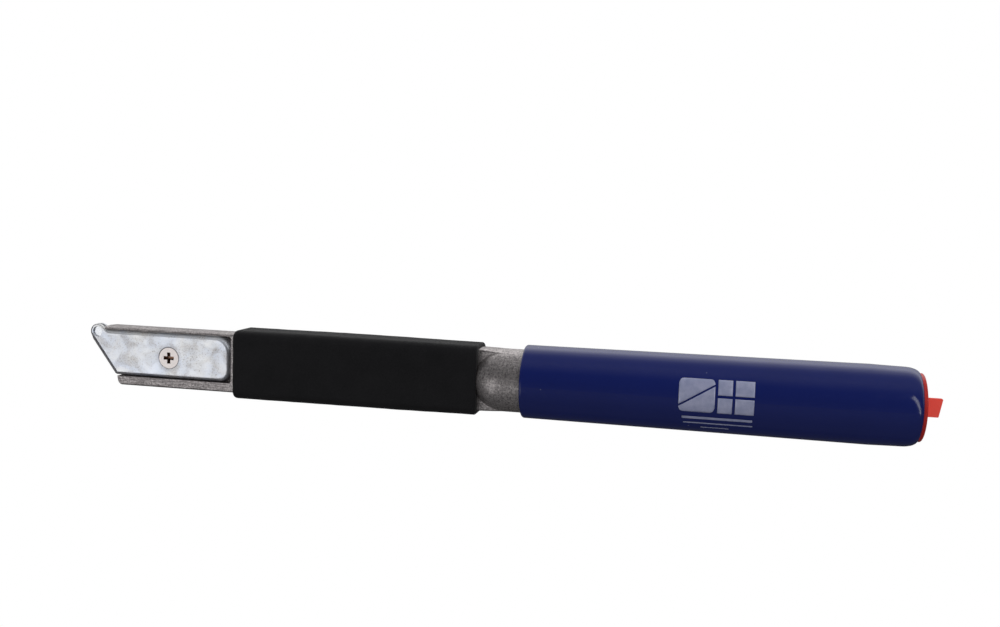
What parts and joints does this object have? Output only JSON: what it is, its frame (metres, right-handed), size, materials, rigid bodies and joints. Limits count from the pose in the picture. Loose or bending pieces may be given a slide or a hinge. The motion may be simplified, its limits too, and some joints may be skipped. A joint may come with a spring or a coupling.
{
  "type": "glass cutter",
  "caption": "Long hand glass cutter: a small wheel in a screw-clamped insert, flat foam-gripped shank and a plugged hollow round handle.",
  "frame": {"origin": "bottom centre of the bounding box with the tool lying flat, straight below the handle's axis", "axes": "+X along the handle towards the butt, +Z out of the face that carries the cutter insert, +Y towards the side the wheel is on"},
  "size_m": [0.3013, 0.0262, 0.0263],
  "materials": {
    "cast_metal": "tumbled die casting",
    "foam": "matte closed-cell foam",
    "vinyl": "glossy dipped vinyl",
    "plug_plastic": "satin moulded plastic",
    "plated_steel": "bright zinc plate",
    "axle_steel": "polished",
    "carbide": "ground carbide",
    "screw_steel": "nickel-plated"
  },
  "bodies": {
    "handle": {"handle_casting": "cast_metal", "foam_grip": "foam", "handle_sleeve": "vinyl"},
    "plug": {"storage_plug": "plug_plastic"},
    "insert": {"cutter_plate": "plated_steel", "wheel_axle": "axle_steel"},
    "wheel": {"cutting_wheel": "carbide"},
    "screw": {"clamp_screw": "screw_steel"},
    "spare_insert_1": {"spare_plate_1": "plated_steel", "spare_axle_1": "axle_steel"},
    "spare_wheel_1": {"spare_wheel_1": "carbide"},
    "spare_insert_2": {"spare_plate_2": "plated_steel", "spare_axle_2": "axle_steel"},
    "spare_wheel_2": {"spare_wheel_2": "carbide"}
  },
  "joints": [
    {"name": "plug_pull", "type": "slide", "parent": "handle", "child": "plug", "axis": [1, 0, 0], "range_m": [0, 0.03]},
    {"name": "insert_lift", "type": "slide", "parent": "handle", "child": "insert", "axis": [0, 0, 1], "range_m": [0, 0.0056]},
    {"name": "screw_turn", "type": "hinge", "parent": "insert", "child": "screw", "pos_m": [-0.1186, 0.00045, 0.01765], "axis": [0, 0, 1], "range_deg": [0, 2880]},
    {"name": "wheel_spin", "type": "hinge", "parent": "insert", "child": "wheel", "pos_m": [-0.14775, 0.0088, 0.01595], "axis": [0, 0, 1], "continuous": true},
    {"name": "spare_1_slide", "type": "slide", "parent": "handle", "child": "spare_insert_1", "axis": [1, 0, 0], "range_m": [0, 0.0036]},
    {"name": "spare_2_slide", "type": "slide", "parent": "handle", "child": "spare_insert_2", "axis": [1, 0, 0], "range_m": [-0.0036, 0]},
    {"name": "spare_wheel_1_spin", "type": "hinge", "parent": "spare_insert_1", "child": "spare_wheel_1", "pos_m": [0.01735, 0.00653, 0.01315], "axis": [0, 0, 1], "continuous": true},
    {"name": "spare_wheel_2_spin", "type": "hinge", "parent": "spare_insert_2", "child": "spare_wheel_2", "pos_m": [0.07795, 0.00653, 0.01315], "axis": [0, 0, 1], "continuous": true}
  ],
  "couplings": [
    {"joint": "screw_turn", "follows": "insert_lift", "rad_per_m": 8975.9}
  ]
}
